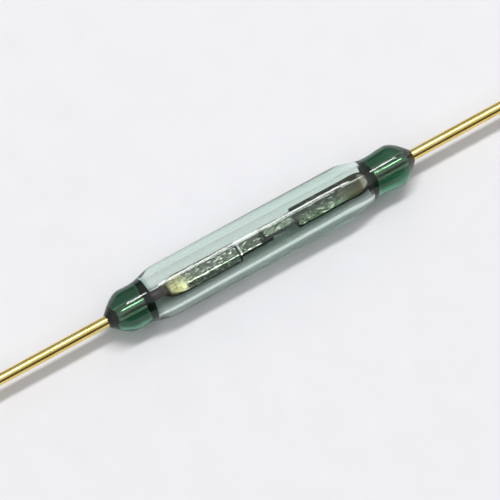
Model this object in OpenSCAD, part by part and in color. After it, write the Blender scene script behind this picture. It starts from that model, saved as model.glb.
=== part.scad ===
// Glass reed switch, normally open.
// Two equal reeds, each pressed from one nickel-iron wire, are sealed into the ends of a glass capsule.
// X runs along the leads, Z is square to the faces of the blades, and the origin is the capsule's middle.
// The right blade lies above the left one, and the left reed is the right one turned half round about Y.

/* [Glass capsule] */
// Length of the capsule from end to end
glass_l = 14; // [13:0.1:18]
// Outer diameter of the tube round the blades
tube_d = 2.2; // [2:0.05:2.8]
// Wall of the tube
wall = 0.28; // [0.16:0.02:0.36]
// Least glass between a domed end of the cavity and the outside
dome_wall = 0.2; // [0.1:0.01:0.28]
// How much thinner the fused bead at each end is than the tube
bead_drop = 0.44; // [0.2:0.02:0.6]

/* [Left seal] */
// Length of the rounded nose of the left bead
left_nose_l = 1; // [0.6:0.05:1.4]
// Diameter of the flat ring of glass where the left lead comes out
left_mouth_d = 0.54; // [0.54:0.02:1]
// Length of the left bead between its nose and the waist behind it
left_bead_l = 0.4; // [0.2:0.05:1]
// How much thinner the waist behind the left bead is than the tube
left_waist_drop = 0.46; // [0.3:0.01:0.7]
// Length over which the glass swells from the left waist to the tube
left_swell_l = 1.25; // [0.8:0.05:1.6]
// Length of glass that is fused to the left wire
left_seal_l = 1.92; // [1.2:0.01:2.2]
// Depth of the domed end of the cavity at the left seal
left_dome_l = 0.3; // [0.2:0.05:0.9]
// Bare round wire between the left seal and the pressed part
left_neck_l = 0.62; // [0.2:0.01:1.2]

/* [Right seal] */
// Length of the rounded nose of the right bead
right_nose_l = 0.9; // [0.6:0.05:1.4]
// Diameter of the flat ring of glass where the right lead comes out
right_mouth_d = 0.54; // [0.54:0.02:1]
// Length of the right bead between its nose and the waist behind it
right_bead_l = 0.85; // [0.2:0.05:1]
// How much thinner the waist behind the right bead is than the tube
right_waist_drop = 0.55; // [0.3:0.01:0.7]
// Length over which the glass swells from the right waist to the tube
right_swell_l = 1.5; // [0.8:0.05:1.6]
// Length of glass that is fused to the right wire
right_seal_l = 1.8; // [1.2:0.01:2.2]
// Depth of the domed end of the cavity at the right seal
right_dome_l = 0.75; // [0.3:0.05:0.9]
// Bare round wire between the right seal and the pressed part
right_neck_l = 0.26; // [0.2:0.01:1.2]

/* [Leads] */
// Length over the ends of both leads
overall_l = 44.5; // [30:0.5:60]
// Diameter of a free lead with its plating
lead_d = 0.46; // [0.4:0.01:0.52]
// Thickness of the plating on a free lead
plating = 0.005; // [0.003:0.001:0.01]
// Length over which the plating thins out inside the mouth of a seal
plating_run_l = 0.6; // [0.55:0.05:0.8]
// Chamfer on the cut end of a lead
lead_chamfer = 0.05; // [0.02:0.01:0.1]

/* [Blades] */
// Thickness of the thin, springy part of a blade
blade_t = 0.175; // [0.15:0.005:0.22]
// Thickness of the contact tip
tip_t = 0.31; // [0.24:0.01:0.36]
// Length of the contact tip, from the middle of its step to its end
tip_l = 1.51; // [1:0.01:2]
// Length of the step between the springy part and the tip
step_l = 0.12; // [0.08:0.01:0.3]
// Length over which the two tips overlap
overlap_l = 0.47; // [0.2:0.01:0.8]
// Gap between the open contacts
contact_gap = 0.06; // [0.03:0.01:0.12]
// How far the rounded edges of a pressed part stand out from its flat faces
blade_edge = 0.05; // [0.02:0.01:0.07]
// Length over which the wire widens into the blade
flare_l = 0.76; // [0.4:0.02:1]
// Length of the slope from the wire down to the face that carries the contact
ramp_l = 0.22; // [0.1:0.01:0.3]

/* [Hidden] */

// Points on a quarter of a round, on a half wave, and on the round side of a pressed section
arc_steps = 12;
wave_steps = 14;
side_steps = 10;
// Rings along the flare and along the step of a reed
flare_rings = 16;
step_rings = 8;
$fn = 64;

glass_colour = [0.42, 0.66, 0.58, 0.45];
gold_colour = [0.83, 0.66, 0.27];
blade_colour = [0.6, 0.63, 0.59];

tube_r = tube_d / 2;
cavity_r = tube_r - wall;
bead_r = tube_r - bead_drop / 2;
left_waist_r = tube_r - left_waist_drop / 2;
right_waist_r = tube_r - right_waist_drop / 2;
left_waist_at = left_nose_l + left_bead_l;
right_waist_at = right_nose_l + right_bead_l;
lead_r = lead_d / 2;
wire_r = lead_r - plating;
free_l = (overall_l - glass_l) / 2;

// Where the cavity ends at the wire
left_apex = -glass_l / 2 + left_seal_l;
right_apex = glass_l / 2 - right_seal_l;

// Where the pressed part of each reed starts, and the middle of the overlap, half way between
left_press = left_apex + left_neck_l;
right_press = right_apex - right_neck_l;
contact_x = (left_press + right_press) / 2;
press_l = (right_press - left_press) / 2;

// Places along a reed, measured from the middle of the overlap towards its lead
tip_end = -overlap_l / 2;
step_at = tip_end + tip_l;
// A bending blade turns about a point at 0.15 of its springy length from the root
flex_share = 0.15;
flex_at = press_l - ramp_l - flex_share * (press_l - ramp_l - tip_end);

// Pressing moves the metal outwards and keeps its section, so the half width of a flat face follows from
// the thickness
function pressed_flat(t) = PI * (pow(wire_r, 2) - blade_edge * t / 2) / (2 * t);
blade_flat = pressed_flat(blade_t);
tip_flat = pressed_flat(tip_t);
// Height above the axis of the face that carries the contact, which is one plane from the tip to the root
face_z = contact_gap / 2;

// A smooth rise from 0 to 1
function clamp01(s) = max(0, min(1, s));
function ease(s) = (1 - cos(180 * clamp01(s))) / 2;
function blend(from, to, s) = from + (to - from) * ease(s);

// Places from one distance to another in even steps, with or without the first
function evenly(from, to, steps) = [for (i = [0:steps]) from + (to - from) * i / steps];
function evenly_after(from, to, steps) = [for (i = [1:steps]) from + (to - from) * i / steps];

// Radius of the glass outside at a distance from the left or the right end
function outside_r(s, nose_l, mouth_r, waist_at, waist_r, swell_l) =
    s < nose_l ? mouth_r + (bead_r - mouth_r) * sin(90 * s / nose_l)
    : s < waist_at ? blend(bead_r, waist_r, (s - nose_l) / (waist_at - nose_l))
    : blend(waist_r, tube_r, (s - waist_at) / swell_l);
function left_outside_r(s) =
    outside_r(s, left_nose_l, left_mouth_d / 2, left_waist_at, left_waist_r, left_swell_l);
function right_outside_r(s) =
    outside_r(s, right_nose_l, right_mouth_d / 2, right_waist_at, right_waist_r, right_swell_l);

// Distances from an end at which its outline has points
function outside_places(nose_l, waist_at, swell_l) = concat(
    evenly(0, nose_l, arc_steps),
    evenly_after(nose_l, waist_at, wave_steps),
    evenly_after(waist_at, waist_at + swell_l, wave_steps));
left_places = outside_places(left_nose_l, left_waist_at, left_swell_l);
right_places = outside_places(right_nose_l, right_waist_at, right_swell_l);

// Radius of the domed end of the cavity at a share of its depth
function dome_r(share) = wire_r + (cavity_r - wire_r) * sin(90 * share);
dome_shares = evenly(0, 1, arc_steps);

function reversed(points) = [for (i = [len(points) - 1:-1:0]) points[i]];

// The section of the glass wall on one side of the axis, as [radius, x]
left_outside = [for (s = left_places) [left_outside_r(s), s - glass_l / 2]];
right_outside = [for (s = right_places) [right_outside_r(s), glass_l / 2 - s]];
left_dome = [for (share = dome_shares)
    let (s = left_seal_l + left_dome_l * share)
    [min(dome_r(share), left_outside_r(s) - dome_wall), s - glass_l / 2]];
right_dome = [for (share = dome_shares)
    let (s = right_seal_l + right_dome_l * share)
    [min(dome_r(share), right_outside_r(s) - dome_wall), glass_l / 2 - s]];
glass_section = concat(
    [[wire_r, plating_run_l - glass_l / 2], [lead_r, -glass_l / 2]],
    left_outside,
    reversed(right_outside),
    [[lead_r, glass_l / 2], [wire_r, glass_l / 2 - plating_run_l]],
    right_dome,
    [[cavity_r, glass_l / 2 - right_waist_at - right_swell_l]],
    [[cavity_r, left_waist_at + left_swell_l - glass_l / 2]],
    reversed(left_dome));

// Turns a shape that stands along Z to lie along X
module along_x() {
    rotate([0, 90, 0]) children();
}

module glass_envelope() {
    color(glass_colour)
        along_x() rotate_extrude() polygon(glass_section);
}

// Flat half width, rounded edge, thickness, back and front of the pressed wire at a place along the reed
function flat_at(u) = u > step_at + step_l
    ? blade_flat * sin(90 * clamp01((press_l - u) / flare_l))
    : blend(tip_flat, blade_flat, (u - step_at) / step_l + 0.5);
function edge_at(u) = blend(wire_r, blade_edge, (press_l - u) / flare_l);
function thickness_at(u) = blend(tip_t, blade_t, (u - step_at) / step_l + 0.5);
function back_at(u) = blend(wire_r, face_z + thickness_at(u), (press_l - u) / flare_l);
function front_at(u) = blend(-wire_r, face_z, (press_l - u) / ramp_l);

// Ring of points round the pressed wire: two rounded edges joined by a flat back and a flat front
function ring_at(u) =
    let (half_t = (back_at(u) - front_at(u)) / 2)
    let (z = (back_at(u) + front_at(u)) / 2)
    let (flat = max(flat_at(u), plating))
    [for (side = [1, -1], i = [0:side_steps])
        let (t = 180 * i / side_steps - 90)
        [u, side * (flat + edge_at(u) * cos(t)), z + side * half_t * sin(t)]];

// Solid through the rings at the given places, in order from the tip towards the lead
module pressed_loft(places) {
    ring_n = 2 * (side_steps + 1);
    last = len(places) - 1;
    points = [for (u = places) each ring_at(u)];
    skin = [for (k = [0:last - 1], i = [0:ring_n - 1])
        let (a = k * ring_n + i)
        let (b = k * ring_n + (i + 1) % ring_n)
        each [[a, a + ring_n, b], [b, a + ring_n, b + ring_n]]];
    tip_cap = [[for (i = [0:ring_n - 1]) i]];
    lead_cap = [[for (i = [ring_n - 1:-1:0]) last * ring_n + i]];
    polyhedron(points, concat(tip_cap, skin, lead_cap));
}

blade_places = concat([tip_end], evenly(step_at - step_l / 2, step_at + step_l / 2, step_rings), [flex_at]);
root_places = concat([flex_at], evenly(press_l - flare_l, press_l, flare_rings));

// The parts of the right reed, measured from the middle of the overlap along X
module reed_blade() {
    color(blade_colour) pressed_loft(blade_places);
}

module reed_lead(mouth_at) {
    lead_end = mouth_at + free_l;
    color(blade_colour) pressed_loft(root_places);
    color(gold_colour)
        along_x() rotate_extrude() polygon([
            [0, press_l],
            [wire_r, press_l],
            [wire_r, mouth_at - plating_run_l],
            [lead_r, mouth_at],
            [lead_r, lead_end - lead_chamfer],
            [lead_r - lead_chamfer, lead_end],
            [0, lead_end]]);
}

// Sets a right reed in its place, or turns it over for the left one
module right_place() {
    translate([contact_x, 0, 0]) children();
}

module left_place() {
    translate([contact_x, 0, 0]) rotate([0, 180, 0]) children();
}

module left_lead() {
    left_place() reed_lead(glass_l / 2 + contact_x);
}

module left_blade() {
    left_place() reed_blade();
}

module right_lead() {
    right_place() reed_lead(glass_l / 2 - contact_x);
}

module right_blade() {
    right_place() reed_blade();
}

glass_envelope();
left_lead();
left_blade();
right_lead();
right_blade();
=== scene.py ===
"""Looks of the glass reed switch: a green glass capsule with two pressed reeds, lying on a pale table."""

import math

import bmesh
import bpy
from mathutils import Matrix, Vector


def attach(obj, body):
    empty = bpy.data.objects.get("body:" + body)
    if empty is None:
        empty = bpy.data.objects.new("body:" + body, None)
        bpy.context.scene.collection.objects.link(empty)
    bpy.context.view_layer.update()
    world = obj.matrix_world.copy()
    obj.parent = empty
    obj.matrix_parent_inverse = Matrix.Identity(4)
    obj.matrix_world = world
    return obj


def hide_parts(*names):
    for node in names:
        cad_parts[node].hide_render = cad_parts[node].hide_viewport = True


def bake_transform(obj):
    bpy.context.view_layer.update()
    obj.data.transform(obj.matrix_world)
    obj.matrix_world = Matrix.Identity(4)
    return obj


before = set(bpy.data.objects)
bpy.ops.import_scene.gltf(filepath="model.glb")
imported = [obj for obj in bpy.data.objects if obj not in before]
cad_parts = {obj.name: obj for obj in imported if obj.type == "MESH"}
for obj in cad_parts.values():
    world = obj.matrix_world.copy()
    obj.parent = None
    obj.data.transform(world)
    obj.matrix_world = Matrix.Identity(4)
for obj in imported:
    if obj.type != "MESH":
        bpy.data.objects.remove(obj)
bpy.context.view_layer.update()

MM = 0.001

# Sizes of the part in millimetres, as in the CAD model
GLASS_L = 14.0
TUBE_R = 1.1
WALL = 0.28
CAVITY_R = TUBE_R - WALL
DOME_WALL = 0.2
BEAD_R = 0.88
OVERALL_L = 44.5
LEAD_R = 0.23
WIRE_R = 0.225
LEAD_CHAMFER = 0.05
BLADE_T = 0.175
TIP_T = 0.31
TIP_L = 1.51
STEP_L = 0.12
OVERLAP_L = 0.47
CONTACT_GAP = 0.06
BLADE_EDGE = 0.05
FLARE_L = 0.76
RAMP_L = 0.22

# Each end of the capsule: outside, seal, bare neck, and oxide on the wire inside the seal.
# After the photo, the left seal and the right dome are 0.25 mm shorter than in the CAD model,
# and the left neck is as much longer.
LEFT = dict(side=-1, nose_l=1.0, mouth_r=0.27, bead_l=0.4, waist_r=0.87, swell_l=1.25,
            seal_l=1.67, dome_l=0.3, neck_l=0.87, oxide_l=0.02)
RIGHT = dict(side=1, nose_l=0.9, mouth_r=0.27, bead_l=0.85, waist_r=0.825, swell_l=1.5,
             seal_l=1.8, dome_l=0.5, neck_l=0.26, oxide_l=0.0)

LEFT_PRESS = -GLASS_L / 2 + LEFT["seal_l"] + LEFT["neck_l"]
RIGHT_PRESS = GLASS_L / 2 - RIGHT["seal_l"] - RIGHT["neck_l"]
CONTACT_X = (LEFT_PRESS + RIGHT_PRESS) / 2
PRESS_L = (RIGHT_PRESS - LEFT_PRESS) / 2
TIP_END = -OVERLAP_L / 2
STEP_AT = TIP_END + TIP_L
FACE_Z = CONTACT_GAP / 2

# The contact side of the springy part is flat in the middle and falls away towards its edges
BEVEL_AT = 0.19
BEVEL_ROUND = 0.03
BEVEL_SLOPE = 0.25
BEVEL_START_L = 0.3

# Rounded end of a tip, and the least half width of a flat face
TIP_ROUND = 0.045
LEAST_FLAT = 0.002

# The bore of the glass against the wires in it, and how much of the depth of a domed end gets painted shade
BORE_SHARE = 0.97
DOME_SHADE_SHARE = 0.8

# How far the gold plating shows inside the mouth of a seal
PLATED_INSIDE = 0.05

# Fineness of the meshes
TURN_STEPS = 160
SIDE_STEPS = 20
FLAT_STEPS = 32
NOSE_STEPS = 48
BEAD_STEPS = 24
SWELL_STEPS = 48
DOME_STEPS = 40
TIP_ROUND_STEPS = 5
TIP_STEPS = 14
STEP_STEPS = 16
SPRING_STEPS = 26
FLARE_STEPS = 30
RAMP_STEPS = 30
WIRE_STEPS = 20
LEAD_STEPS = 60
SHARP_DEG = 40

# The photograph's view
CAMERA_AZIMUTH = -31.0
CAMERA_ELEVATION = 65.0
CAMERA_DISTANCE = 300.0
CAMERA_AIM = (-0.602, -0.248, 0.0)
CAMERA_LENS = 548.8
SENSOR_W = 36.0
CLIP_M = (0.005, 10.0)

# Table and key lamp, in metres and watts
TABLE_HALF_M = 2.0
KEY_TOWARDS = (0.147, 0.17, 1.0)
KEY_DISTANCE_M = 0.4
KEY_SIZE_M = (0.32, 0.052)
KEY_POWER_W = 0.97

# Tones of the surround from the viewer's side to the far side, by the Y of a direction
SURROUND = ((-1.0, 0.05), (-0.78, 0.07), (-0.62, 0.60), (-0.5, 0.76), (-0.1, 0.70),
            (0.3, 0.48), (0.85, 0.52), (0.95, 0.15), (1.0, 0.10))
SURROUND_BLUE = 1.02

# Look of each reed. Tones: contact end, tip, painted highlight at the step, springy part, tinted flare and
# its root, where the left reed's dark tone is painted shade.
# Then the length of the root, how strong grain, light specks and the painted shade on bevels are, what blade
# and flare add to the roughness of the wire, and the rise of the normals where that painted shade is full and
# where it ends.
LEFT_LOOK = dict(contact=(0.30, 0.33, 0.26), tip=(0.28, 0.31, 0.25), painted_step_highlight=(0.95, 0.95, 0.90),
                 wide=(0.42, 0.47, 0.39), flare=(0.42, 0.38, 0.20), root=(0.10, 0.07, 0.03),
                 root_l=0.2, grain=1.0, specks=0.8, bevel=0.6,
                 blade_rough=-0.08, flare_rough=0.3, lean=(0.990, 0.999))
RIGHT_LOOK = dict(contact=(0.15, 0.17, 0.13), tip=(0.11, 0.13, 0.10), painted_step_highlight=(0.11, 0.13, 0.10),
                  wide=(0.036, 0.05, 0.033), flare=(0.03, 0.024, 0.006), root=(0.26, 0.25, 0.19),
                  root_l=0.36, grain=0.45, specks=0.2, bevel=0.9,
                  blade_rough=0.06, flare_rough=0.2, lean=(0.997, 0.9994))
WIRE_ROUGH = 0.18


def ease(s):
    """Half a wave from 0 to 1."""
    s = min(max(s, 0.0), 1.0)
    return (1 - math.cos(math.pi * s)) / 2


def blend(a, b, s):
    """From a to b along half a wave."""
    return a + (b - a) * ease(s)


def evenly(start, end, steps):
    """Evenly spaced values, with both ends."""
    return [start + (end - start) * i / steps for i in range(steps + 1)]


def joined(*runs):
    """Runs of places one after another, each without the place that the last one ended on."""
    places = list(runs[0])
    for run in runs[1:]:
        places += run[1:]
    return places


def add_piece(name, points, faces, material):
    """A smooth mesh from points in millimetres, with its sharp edges kept."""
    mesh = bpy.data.meshes.new(name)
    mesh.from_pydata([Vector(p) * MM for p in points], [], faces)
    made = bmesh.new()
    made.from_mesh(mesh)
    bmesh.ops.recalc_face_normals(made, faces=made.faces)
    made.to_mesh(mesh)
    made.free()
    mesh.shade_smooth()
    mesh.set_sharp_from_angle(angle=math.radians(SHARP_DEG))
    mesh.materials.append(material)
    piece = bpy.data.objects.new(name, mesh)
    bpy.context.scene.collection.objects.link(piece)
    return piece


# Glass capsule


def outside_r(s, end):
    """Radius of the glass at a distance from an end of the capsule."""
    nose_l, waist_at = end["nose_l"], end["nose_l"] + end["bead_l"]
    if s < nose_l:
        return end["mouth_r"] + (BEAD_R - end["mouth_r"]) * math.sin(math.pi / 2 * s / nose_l)
    if s < waist_at:
        return blend(BEAD_R, end["waist_r"], (s - nose_l) / end["bead_l"])
    return blend(end["waist_r"], TUBE_R, (s - waist_at) / end["swell_l"])


def outside_outline(end):
    """Outline from the mouth of a seal to the tube, as (x, radius)."""
    nose_l = end["nose_l"]
    waist_at = nose_l + end["bead_l"]
    places = joined(evenly(0, nose_l, NOSE_STEPS), evenly(nose_l, waist_at, BEAD_STEPS),
                    evenly(waist_at, waist_at + end["swell_l"], SWELL_STEPS))
    return [(end["side"] * (GLASS_L / 2 - s), outside_r(s, end)) for s in places]


def dome_outline(end, bore_r):
    """Outline of the domed end of the cavity from the bore to the straight wall, as (x, radius)."""
    outline = [(end["side"] * (GLASS_L / 2 - end["seal_l"]), bore_r)]
    for share in evenly(0, 1, DOME_STEPS):
        s = end["seal_l"] + end["dome_l"] * share
        r = WIRE_R + (CAVITY_R - WIRE_R) * math.sin(math.pi / 2 * share)
        outline.append((end["side"] * (GLASS_L / 2 - s), min(r, outside_r(s, end) - DOME_WALL)))
    return outline


def revolve(name, outline, steps, material):
    """A closed outline of (x, radius) turned about X."""
    points, faces = [], []
    for x, r in outline:
        for k in range(steps):
            t = 2 * math.pi * k / steps
            points.append((x, r * math.cos(t), r * math.sin(t)))
    for i in range(len(outline)):
        j = (i + 1) % len(outline)
        for k in range(steps):
            m = (k + 1) % steps
            faces.append((i * steps + k, i * steps + m, j * steps + m, j * steps + k))
    return add_piece(name, points, faces, material)


def paint_dome_shade(capsule, material):
    """Gives the inner part of each domed end of the cavity its dark material, which is painted shade."""
    capsule.data.materials.append(material)
    for face in capsule.data.polygons:
        centre = face.center / MM
        for end in (LEFT, RIGHT):
            s = GLASS_L / 2 - end["side"] * centre.x
            within = 0 <= s - end["seal_l"] <= DOME_SHADE_SHARE * end["dome_l"]
            if within and math.hypot(centre.y, centre.z) < outside_r(s, end) - DOME_WALL / 2:
                face.material_index = 1


def make_capsule(material, dome_shade_material):
    """The glass, whose bore lies just inside the wires that are sealed in it."""
    bore_r = WIRE_R * BORE_SHARE
    left, right = outside_outline(LEFT), outside_outline(RIGHT)
    cavity = dome_outline(RIGHT, bore_r) + dome_outline(LEFT, bore_r)[::-1]
    outline = ([(-GLASS_L / 2, bore_r)] + left + right[::-1] + [(GLASS_L / 2, bore_r)] + cavity)
    capsule = revolve("glass_capsule", outline, TURN_STEPS, material)
    # The inner parts of the domed ends get painted shade, an opaque dark material.
    paint_dome_shade(capsule, dome_shade_material)
    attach(capsule, "capsule")
    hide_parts("glass_envelope")
    return capsule


# Reeds, measured from the middle of the overlap towards the lead


def pressed_flat(t):
    """Half width of a flat face of the wire pressed to a thickness, with its section kept."""
    return math.pi * (WIRE_R ** 2 - BLADE_EDGE * t / 2) / (2 * t)


BLADE_FLAT = pressed_flat(BLADE_T)
TIP_FLAT = pressed_flat(TIP_T)


def flat_at(u):
    """Half width of the flat face."""
    if u > STEP_AT + STEP_L:
        share = min(max((PRESS_L - u) / FLARE_L, 0.0), 1.0)
        return BLADE_FLAT * math.sin(math.pi / 2 * share)
    return blend(TIP_FLAT, BLADE_FLAT, (u - STEP_AT) / STEP_L + 0.5)


def edge_at(u):
    """Reach of the rounded edge past the flat face."""
    return blend(WIRE_R, BLADE_EDGE, (PRESS_L - u) / FLARE_L)


def thickness_at(u):
    """Thickness of the blade, which steps at the tip."""
    return blend(TIP_T, BLADE_T, (u - STEP_AT) / STEP_L + 0.5)


def back_at(u):
    """Height of the side away from the contact."""
    return blend(WIRE_R, FACE_Z + thickness_at(u), (PRESS_L - u) / FLARE_L)


def front_at(u):
    """Height of the contact side."""
    return blend(-WIRE_R, FACE_Z, (PRESS_L - u) / RAMP_L)


def bevel_at(u, y):
    """How far the contact side of the springy part falls away at a distance from its middle."""
    share = ease((u - STEP_AT) / STEP_L + 0.5) * ease((PRESS_L - FLARE_L - u) / BEVEL_START_L)
    past = max(abs(y) - BEVEL_AT, 0.0)
    fall = past ** 2 / (2 * BEVEL_ROUND) if past < BEVEL_ROUND else past - BEVEL_ROUND / 2
    return share * BEVEL_SLOPE * fall


def pressed_ring(u, shrink=0.0):
    """Ring of points round the pressed wire, drawn in by shrink at its rounded end."""
    half_t = (back_at(u) - front_at(u)) / 2 - shrink
    z = (back_at(u) + front_at(u)) / 2
    flat = max(flat_at(u), LEAST_FLAT)
    edge = edge_at(u) - shrink
    ring = []
    for side in (1, -1):
        for t in evenly(-math.pi / 2, math.pi / 2, SIDE_STEPS):
            up = side * math.sin(t)
            fall = bevel_at(u, flat) * (1 - up) / 2
            ring.append((u, side * (flat + edge * math.cos(t)), z + half_t * up + fall))
        for y in evenly(flat, -flat, FLAT_STEPS)[1:-1]:
            fall = bevel_at(u, y) if side < 0 else 0.0
            ring.append((u, side * y, z + side * half_t + fall))
    return ring


def round_ring(u, r):
    """Ring on the round wire, with its points in line with those of a pressed ring."""
    ring = []
    for side in (1, -1):
        for t in evenly(-math.pi / 2, math.pi / 2, SIDE_STEPS + FLAT_STEPS)[:-1]:
            ring.append((u, side * r * math.cos(t), side * r * math.sin(t)))
    return ring


def loft(name, rings, place, material):
    """A closed skin through rings of the same number of points."""
    count = len(rings[0])
    points = [place(p) for ring in rings for p in ring]
    faces = [tuple(range(count)), tuple(range((len(rings) - 1) * count, len(rings) * count))]
    for k in range(len(rings) - 1):
        for i in range(count):
            j = (i + 1) % count
            faces.append((k * count + i, k * count + j, (k + 1) * count + j, (k + 1) * count + i))
    return add_piece(name, points, faces, material)


def mouth_at(end):
    """Where a lead comes out of the glass."""
    return GLASS_L / 2 - end["side"] * CONTACT_X


def make_reed(end, name, nodes, pressed_material, plated_material):
    """A reed in two pieces: the plated lead outside the glass, and the pressed wire that bends inside it."""
    mouth = mouth_at(end)
    plated_from = mouth - PLATED_INSIDE

    def place(p):
        return (CONTACT_X + end["side"] * p[0], p[1], end["side"] * p[2])

    rings = [pressed_ring(TIP_END + TIP_ROUND * (1 - math.cos(t)), TIP_ROUND * (1 - math.sin(t)))
             for t in evenly(0, math.pi / 2, TIP_ROUND_STEPS)]
    places = joined(evenly(TIP_END + TIP_ROUND, STEP_AT - STEP_L / 2, TIP_STEPS),
                    evenly(STEP_AT - STEP_L / 2, STEP_AT + STEP_L / 2, STEP_STEPS),
                    evenly(STEP_AT + STEP_L / 2, PRESS_L - FLARE_L, SPRING_STEPS),
                    evenly(PRESS_L - FLARE_L, PRESS_L - RAMP_L, FLARE_STEPS),
                    evenly(PRESS_L - RAMP_L, PRESS_L, RAMP_STEPS))
    rings += [pressed_ring(u) for u in places[1:]]
    rings += [round_ring(u, WIRE_R) for u in evenly(PRESS_L, plated_from, WIRE_STEPS)[1:]]
    reed = loft(name + "_pressed_reed", rings, place, pressed_material)
    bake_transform(reed)
    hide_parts(*nodes)

    lead_end = mouth + (OVERALL_L - GLASS_L) / 2
    rings = [round_ring(u, LEAD_R) for u in evenly(plated_from, lead_end - LEAD_CHAMFER, LEAD_STEPS)]
    rings.append(round_ring(lead_end, LEAD_R - LEAD_CHAMFER))
    lead = loft(name + "_plated_lead", rings, place, plated_material)
    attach(lead, "capsule")
    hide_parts(nodes[0])


# Materials


class Shader:
    """A material's node tree, with short calls for its nodes."""

    def __init__(self, name):
        self.material = bpy.data.materials.new(name)
        self.material.use_nodes = True
        self.tree = self.material.node_tree
        self.surface = self.tree.nodes["Principled BSDF"]
        self.output = self.tree.nodes["Material Output"]

    def add(self, kind, **settings):
        node = self.tree.nodes.new("ShaderNode" + kind)
        for key, value in settings.items():
            setattr(node, key, value)
        return node

    def link(self, source, target):
        self.tree.links.new(source, target)

    def set(self, **values):
        for key, value in values.items():
            self.surface.inputs[key.replace("_", " ")].default_value = value

    def position(self, scale=(1, 1, 1)):
        """The point on the surface in millimetres, stretched by scale."""
        coordinates = self.add("TexCoord")
        mapping = self.add("Mapping")
        mapping.inputs["Scale"].default_value = [s / MM for s in scale]
        self.link(coordinates.outputs["Object"], mapping.inputs["Vector"])
        return mapping.outputs["Vector"]

    def axis(self, name):
        """One coordinate of the point on the surface, in millimetres."""
        split = self.add("SeparateXYZ")
        self.link(self.position(), split.inputs[0])
        return split.outputs[name]

    def noise(self, scale, detail=4.0, roughness=0.6, stretch=(1, 1, 1)):
        """Noise with so many cells in a millimetre."""
        texture = self.add("TexNoise")
        texture.inputs["Scale"].default_value = scale
        texture.inputs["Detail"].default_value = detail
        texture.inputs["Roughness"].default_value = roughness
        self.link(self.position(stretch), texture.inputs["Vector"])
        return texture.outputs["Fac"]

    def along(self, sign, origin):
        """The distance along a reed from a place on the axis, in millimetres."""
        return self.math("MULTIPLY_ADD", self.axis("X"), sign, -sign * origin)

    def leaning(self, full, none):
        """1 on faces whose normal rises no more than full, 0 on those that rise more than none."""
        split = self.add("SeparateXYZ")
        self.link(self.add("TexCoord").outputs["Normal"], split.inputs[0])
        return self.ranged(self.math("ABSOLUTE", split.outputs["Z"]), full, none, 1.0, 0.0)

    def band(self, value, start, end, soft=0.015):
        """1 between two values, falling to 0 over a soft edge outside them."""
        return self.math("MINIMUM", self.ranged(value, start - soft, start),
                         self.ranged(value, end, end + soft, 1.0, 0.0))

    def math(self, operation, *values):
        node = self.add("Math", operation=operation)
        for socket, value in zip(node.inputs, values):
            if isinstance(value, (int, float)):
                socket.default_value = value
            else:
                self.link(value, socket)
        return node.outputs[0]

    def ranged(self, value, low, high, to_low=0.0, to_high=1.0):
        node = self.add("MapRange")
        self.link(value, node.inputs["Value"])
        for key, number in (("From Min", low), ("From Max", high), ("To Min", to_low), ("To Max", to_high)):
            node.inputs[key].default_value = number
        return node.outputs["Result"]

    def ramp(self, value, stops, low=0.0, high=1.0):
        """A colour that follows a value through stops of (value, colour)."""
        node = self.add("ValToRGB")
        self.link(self.ranged(value, low, high), node.inputs["Fac"])
        elements = node.color_ramp.elements
        while len(elements) > 1:
            elements.remove(elements[0])
        for index, (place, colour) in enumerate(stops):
            at = (place - low) / (high - low)
            element = elements[0] if index == 0 else elements.new(at)
            element.position = at
            element.color = (*colour, 1.0)
        return node.outputs["Color"]

    def mix(self, share, a, b, kind="MIX"):
        node = self.add("Mix", data_type="RGBA", blend_type=kind)
        for name, value in (("Factor", share), ("A", a), ("B", b)):
            sort = "VALUE" if name == "Factor" else "RGBA"
            socket = next(s for s in node.inputs if s.name == name and s.type == sort)
            if hasattr(value, "is_linked"):
                self.link(value, socket)
            elif isinstance(value, tuple):
                socket.default_value = (*value, 1.0)
            else:
                socket.default_value = value
        return next(o for o in node.outputs if o.type == "RGBA")

    def bump(self, height, strength, distance):
        node = self.add("Bump")
        node.inputs["Strength"].default_value = strength
        node.inputs["Distance"].default_value = distance * MM
        self.link(height, node.inputs["Height"])
        self.link(node.outputs["Normal"], self.surface.inputs["Normal"])


def green_glass():
    """Green sealing glass: nearly clear in the thin tube, dark green in the beads fused round the wires,
    partly the glass's own green and partly painted shade.
    """
    shader = Shader("green_glass")
    # The beads' tint is darker than the glass's own green: part of it is painted shade for the dark table
    # seen through the thick beads.
    clear, bead_tint_and_shade = (1.0, 1.0, 1.0), (0.13, 0.38, 0.25)
    fade_l = 0.45
    left_seal = -GLASS_L / 2 + LEFT["seal_l"]
    right_seal = GLASS_L / 2 - RIGHT["seal_l"]
    tint = shader.ramp(shader.axis("X"), [
        (left_seal, bead_tint_and_shade), (left_seal + fade_l, clear), (right_seal - fade_l, clear), (right_seal, bead_tint_and_shade),
    ], low=-GLASS_L / 2, high=GLASS_L / 2)
    shader.link(tint, shader.surface.inputs["Base Color"])
    shader.set(Transmission_Weight=1.0, IOR=1.5)
    haze = shader.ranged(shader.noise(2.5), low=0.45, high=0.75, to_low=0.0, to_high=0.03)
    shader.link(haze, shader.surface.inputs["Roughness"])
    shader.bump(shader.noise(0.8, detail=2.0), strength=0.03, distance=0.02)
    volume = shader.add("VolumeAbsorption")
    volume.inputs["Color"].default_value = (0.14, 0.65, 0.38, 1)
    volume.inputs["Density"].default_value = 400.0
    shader.link(volume.outputs["Volume"], shader.output.inputs["Volume"])
    return shader.material


def painted_shade_dome():
    """Painted shade: an opaque dark surface in place of clear glass on the inner part of each domed end of
    the cavity, which looks black from the sides.
    """
    shader = Shader("painted_shade_dome")
    # Near-black and dark green patches: painted shade on an opaque surface.
    black, green = (0.008, 0.02, 0.014), (0.014, 0.034, 0.025)
    patches = shader.noise(6.0)
    shader.link(shader.ramp(patches, [(0.35, black), (0.65, green)]), shader.surface.inputs["Base Color"])
    rough = shader.ranged(patches, low=0.3, high=0.7, to_low=0.7, to_high=0.9)
    shader.link(rough, shader.surface.inputs["Roughness"])
    return shader.material


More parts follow.
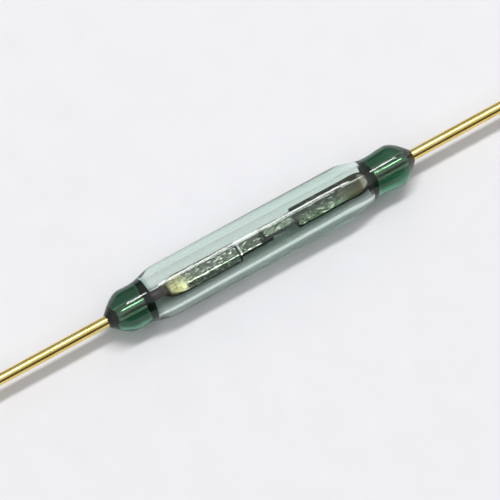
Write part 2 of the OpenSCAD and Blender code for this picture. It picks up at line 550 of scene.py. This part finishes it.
def gold_lead():
    """Bright gold plating over drawn wire."""
    shader = Shader("gold_lead")
    deep, gold, pale = (0.82, 0.60, 0.17), (0.90, 0.69, 0.22), (0.95, 0.77, 0.30)
    drawn = (0.62, 0.42, 0.12)
    lines = shader.noise(14.0, stretch=(0.06, 1, 1))
    patches = shader.noise(1.6)
    colour = shader.ramp(patches, [(0.3, deep), (0.5, gold), (0.7, pale)])
    colour = shader.mix(shader.ranged(lines, low=0.35, high=0.7, to_low=0.0, to_high=0.25), colour, drawn)
    shader.link(colour, shader.surface.inputs["Base Color"])
    shader.set(Metallic=1.0)
    rough = shader.ranged(lines, low=0.3, high=0.7, to_low=0.16, to_high=0.26)
    shader.link(rough, shader.surface.inputs["Roughness"])
    shader.bump(lines, strength=0.2, distance=0.003)
    return shader.material


def reed_zones(shader, along, end, look):
    """Colour along a reed: tip, blade, heat tint at the flare, dark neck, bright sealed wire, brown mouth."""
    neck, sealed, brown = (0.06, 0.04, 0.045), (1.0, 0.56, 0.54), (0.16, 0.09, 0.05)
    contact_fade, step_fade, root_fade = 0.06, 0.04, 0.12
    contact_end = TIP_END + OVERLAP_L
    tint_start, tint_full = PRESS_L - 1.5, PRESS_L - 0.6
    root = PRESS_L - look["root_l"]
    neck_end = PRESS_L + end["neck_l"] + end["oxide_l"]
    brown_start, brown_full = mouth_at(end) - 0.22, mouth_at(end) - 0.15
    before_tip, past_mouth = TIP_END - 0.1, 8.0
    return shader.ramp(along, [
        (TIP_END, look["contact"]), (contact_end, look["contact"]),
        (contact_end + contact_fade, look["tip"]), (STEP_AT - step_fade, look["tip"]),
        (STEP_AT + step_fade, look["wide"]), (tint_start, look["wide"]),
        (tint_full, look["flare"]), (root - root_fade, look["flare"]),
        # For the left reed the root tone is dark: painted shade where the wire ramps down from the neck to
        # the blade.
        (root, look["root"]), (PRESS_L - 0.02, look["root"]),
        (PRESS_L + 0.03, neck), (neck_end - 0.03, neck),
        (neck_end + 0.05, sealed), (brown_start, sealed), (brown_full, brown),
    ], low=before_tip, high=past_mouth)


def pressed_metal(name, end, look):
    """Nickel-iron reed: pressed blade with grain, scores and specks, a painted highlight at the step, and
    painted shade on the step, tip end, bevels and steep edges, on smooth round wire.
    """
    shader = Shader(name)
    # The last tone is near-black painted shade, used on the step, the tip's end, the bevels and the steep
    # edges.
    score_tone, speck_tone, painted_shade_tone = (0.12, 0.12, 0.10), (0.85, 0.88, 0.80), (0.006, 0.008, 0.006)
    along = shader.along(end["side"], CONTACT_X)
    zones = reed_zones(shader, along, end, look)
    pressed = shader.ranged(along, low=PRESS_L - 0.3, high=PRESS_L, to_low=1.0, to_high=0.0)

    speckle = shader.noise(8.0, detail=6.0, roughness=0.7)
    pit, dull, full = (0.30, 0.32, 0.28), (0.75, 0.75, 0.75), (1.0, 1.0, 1.0)
    grain = shader.ramp(speckle, [(0.38, pit), (0.5, dull), (0.58, full)])
    colour = shader.mix(pressed, zones, shader.mix(look["grain"], zones, grain, "MULTIPLY"))
    lines = shader.noise(11.0, stretch=(0.05, 1, 1))
    scores = shader.ranged(lines, low=0.55, high=0.72, to_low=0.0, to_high=0.5)
    colour = shader.mix(shader.math("MULTIPLY", scores, pressed), colour, score_tone)
    dots = shader.noise(11.0, detail=2.0, stretch=(0.4, 1, 1))
    dots = shader.ranged(dots, low=0.58, high=0.64, to_low=0.0, to_high=look["specks"])
    before_flare = shader.ranged(along, low=PRESS_L - 1.2, high=PRESS_L - 0.8, to_low=1.0, to_high=0.0)
    specks = shader.math("MULTIPLY", dots, before_flare)
    colour = shader.mix(specks, colour, speck_tone)

    # Painted highlight: a bright band just before the step, where the step's riser faces the light. On the
    # right reed this tone is its tip tone.
    painted_step_highlight = shader.band(along, STEP_AT - 0.10, STEP_AT - 0.02)
    colour = shader.mix(painted_step_highlight, colour, look["painted_step_highlight"])
    # Painted shade and shadow: near-black bands on the riser of the step and over the rounded end of the tip.
    step_shade = shader.band(along, STEP_AT - 0.01, STEP_AT + 0.08)
    tip_end_shade = shader.band(along, TIP_END - 0.1, TIP_END + 0.12)
    colour = shader.mix(shader.math("MAXIMUM", step_shade, tip_end_shade), colour, painted_shade_tone)
    # Painted shade: faces of the blade that tilt away from flat, as on its bevels, are darkened towards
    # near-black.
    bevel = shader.math("MULTIPLY", shader.leaning(*look["lean"]), pressed)
    colour = shader.mix(shader.math("MULTIPLY", bevel, look["bevel"]), colour, painted_shade_tone)
    # Painted shade: the steep sides of the blade are darkened to near-black.
    edges = shader.math("MULTIPLY", shader.leaning(full=0.45, none=0.75), pressed)
    colour = shader.mix(edges, colour, painted_shade_tone)
    shader.link(colour, shader.surface.inputs["Base Color"])
    shader.set(Metallic=1.0)

    blade_rough, grain_rough, speck_rough = look["blade_rough"], 0.06, 0.2
    rough = shader.ranged(speckle, low=0.3, high=0.7, to_low=blade_rough, to_high=blade_rough + grain_rough)
    rough = shader.math("MULTIPLY_ADD", pressed, rough, WIRE_ROUGH)
    rough = shader.math("MULTIPLY_ADD", specks, speck_rough, rough)
    flare = shader.band(along, PRESS_L - 0.5, PRESS_L - 0.05, soft=0.9)
    rough = shader.math("MULTIPLY_ADD", flare, look["flare_rough"], rough)
    shader.link(rough, shader.surface.inputs["Roughness"])
    relief = shader.math("ADD", shader.noise(8.0, detail=1.0), lines)
    shader.bump(shader.math("MULTIPLY", relief, pressed), strength=0.15, distance=0.01)
    return shader.material


def table_top():
    """Pale matt table."""
    shader = Shader("pale_table")
    darker, lighter = (0.79, 0.79, 0.81), (0.81, 0.81, 0.83)
    fine = shader.noise(0.6, detail=3.0)
    shader.link(shader.ramp(fine, [(0.3, darker), (0.7, lighter)]), shader.surface.inputs["Base Color"])
    shader.set(Roughness=0.6, Specular_IOR_Level=0.2)
    return shader.material


# Stage


def make_floor():
    """The table top, which the glass lies on."""
    half, z = TABLE_HALF_M, -TUBE_R * MM
    corners = [(-half, -half, z), (half, -half, z), (half, half, z), (-half, half, z)]
    mesh = bpy.data.meshes.new("table")
    mesh.from_pydata(corners, [], [(0, 1, 2, 3)])
    mesh.materials.append(table_top())
    table = bpy.data.objects.new("table", mesh)
    bpy.context.scene.collection.objects.link(table)


def make_camera():
    """A far camera with a long lens, as in the photograph."""
    a, e = math.radians(CAMERA_AZIMUTH), math.radians(CAMERA_ELEVATION)
    back = Vector((math.sin(a) * math.cos(e), -math.cos(a) * math.cos(e), math.sin(e)))
    data = bpy.data.cameras.new("camera")
    data.sensor_width = SENSOR_W
    data.lens = CAMERA_LENS
    data.clip_start, data.clip_end = CLIP_M
    camera = bpy.data.objects.new("camera", data)
    camera.location = (Vector(CAMERA_AIM) + back * CAMERA_DISTANCE) * MM
    camera.rotation_mode = "QUATERNION"
    camera.rotation_quaternion = (-back).to_track_quat("-Z", "Y")
    bpy.context.scene.collection.objects.link(camera)
    bpy.context.scene.camera = camera


def add_lamp(name, towards, distance, size, power):
    """A soft rectangular lamp in a direction from the part, long along X."""
    data = bpy.data.lights.new(name, "AREA")
    data.shape = "RECTANGLE"
    data.size, data.size_y = size
    data.energy = power
    lamp = bpy.data.objects.new(name, data)
    direction = Vector(towards).normalized()
    side = direction.cross(Vector((1, 0, 0))).normalized()
    lamp.location = direction * distance
    lamp.rotation_mode = "QUATERNION"
    lamp.rotation_quaternion = Matrix((side.cross(direction), side, direction)).transposed().to_quaternion()
    bpy.context.scene.collection.objects.link(lamp)


def make_light():
    """A strip lamp above, and a soft surround that is dark low on the viewer's side and on the far side."""
    add_lamp("key", KEY_TOWARDS, KEY_DISTANCE_M, KEY_SIZE_M, KEY_POWER_W)
    world = bpy.data.worlds.new("studio")
    bpy.context.scene.world = world
    world.use_nodes = True
    tree = world.node_tree
    ground = tree.nodes["Background"]
    coordinates = tree.nodes.new("ShaderNodeTexCoord")
    split = tree.nodes.new("ShaderNodeSeparateXYZ")
    depth = tree.nodes.new("ShaderNodeMapRange")
    depth.inputs["From Min"].default_value = -1.0
    ramp = tree.nodes.new("ShaderNodeValToRGB")
    tree.links.new(coordinates.outputs["Generated"], split.inputs[0])
    tree.links.new(split.outputs["Y"], depth.inputs["Value"])
    tree.links.new(depth.outputs["Result"], ramp.inputs["Fac"])
    tree.links.new(ramp.outputs["Color"], ground.inputs["Color"])
    elements = ramp.color_ramp.elements
    elements.remove(elements[1])
    for index, (y, tone) in enumerate(SURROUND):
        at = (y + 1) / 2
        element = elements[0] if index == 0 else elements.new(at)
        element.position = at
        element.color = (tone, tone, SURROUND_BLUE * tone, 1)
    ground.inputs["Strength"].default_value = 1.0


def main():
    """Builds the scene."""
    bpy.context.scene.view_settings.view_transform = "Standard"
    make_camera()
    make_floor()
    make_light()
    make_capsule(green_glass(), painted_shade_dome())
    plated = gold_lead()
    for end, name, look in ((LEFT, "left", LEFT_LOOK), (RIGHT, "right", RIGHT_LOOK)):
        make_reed(end, name, (name + "_lead", name + "_blade"),
                  pressed_metal(name + "_pressed_metal", end, look), plated)


main()
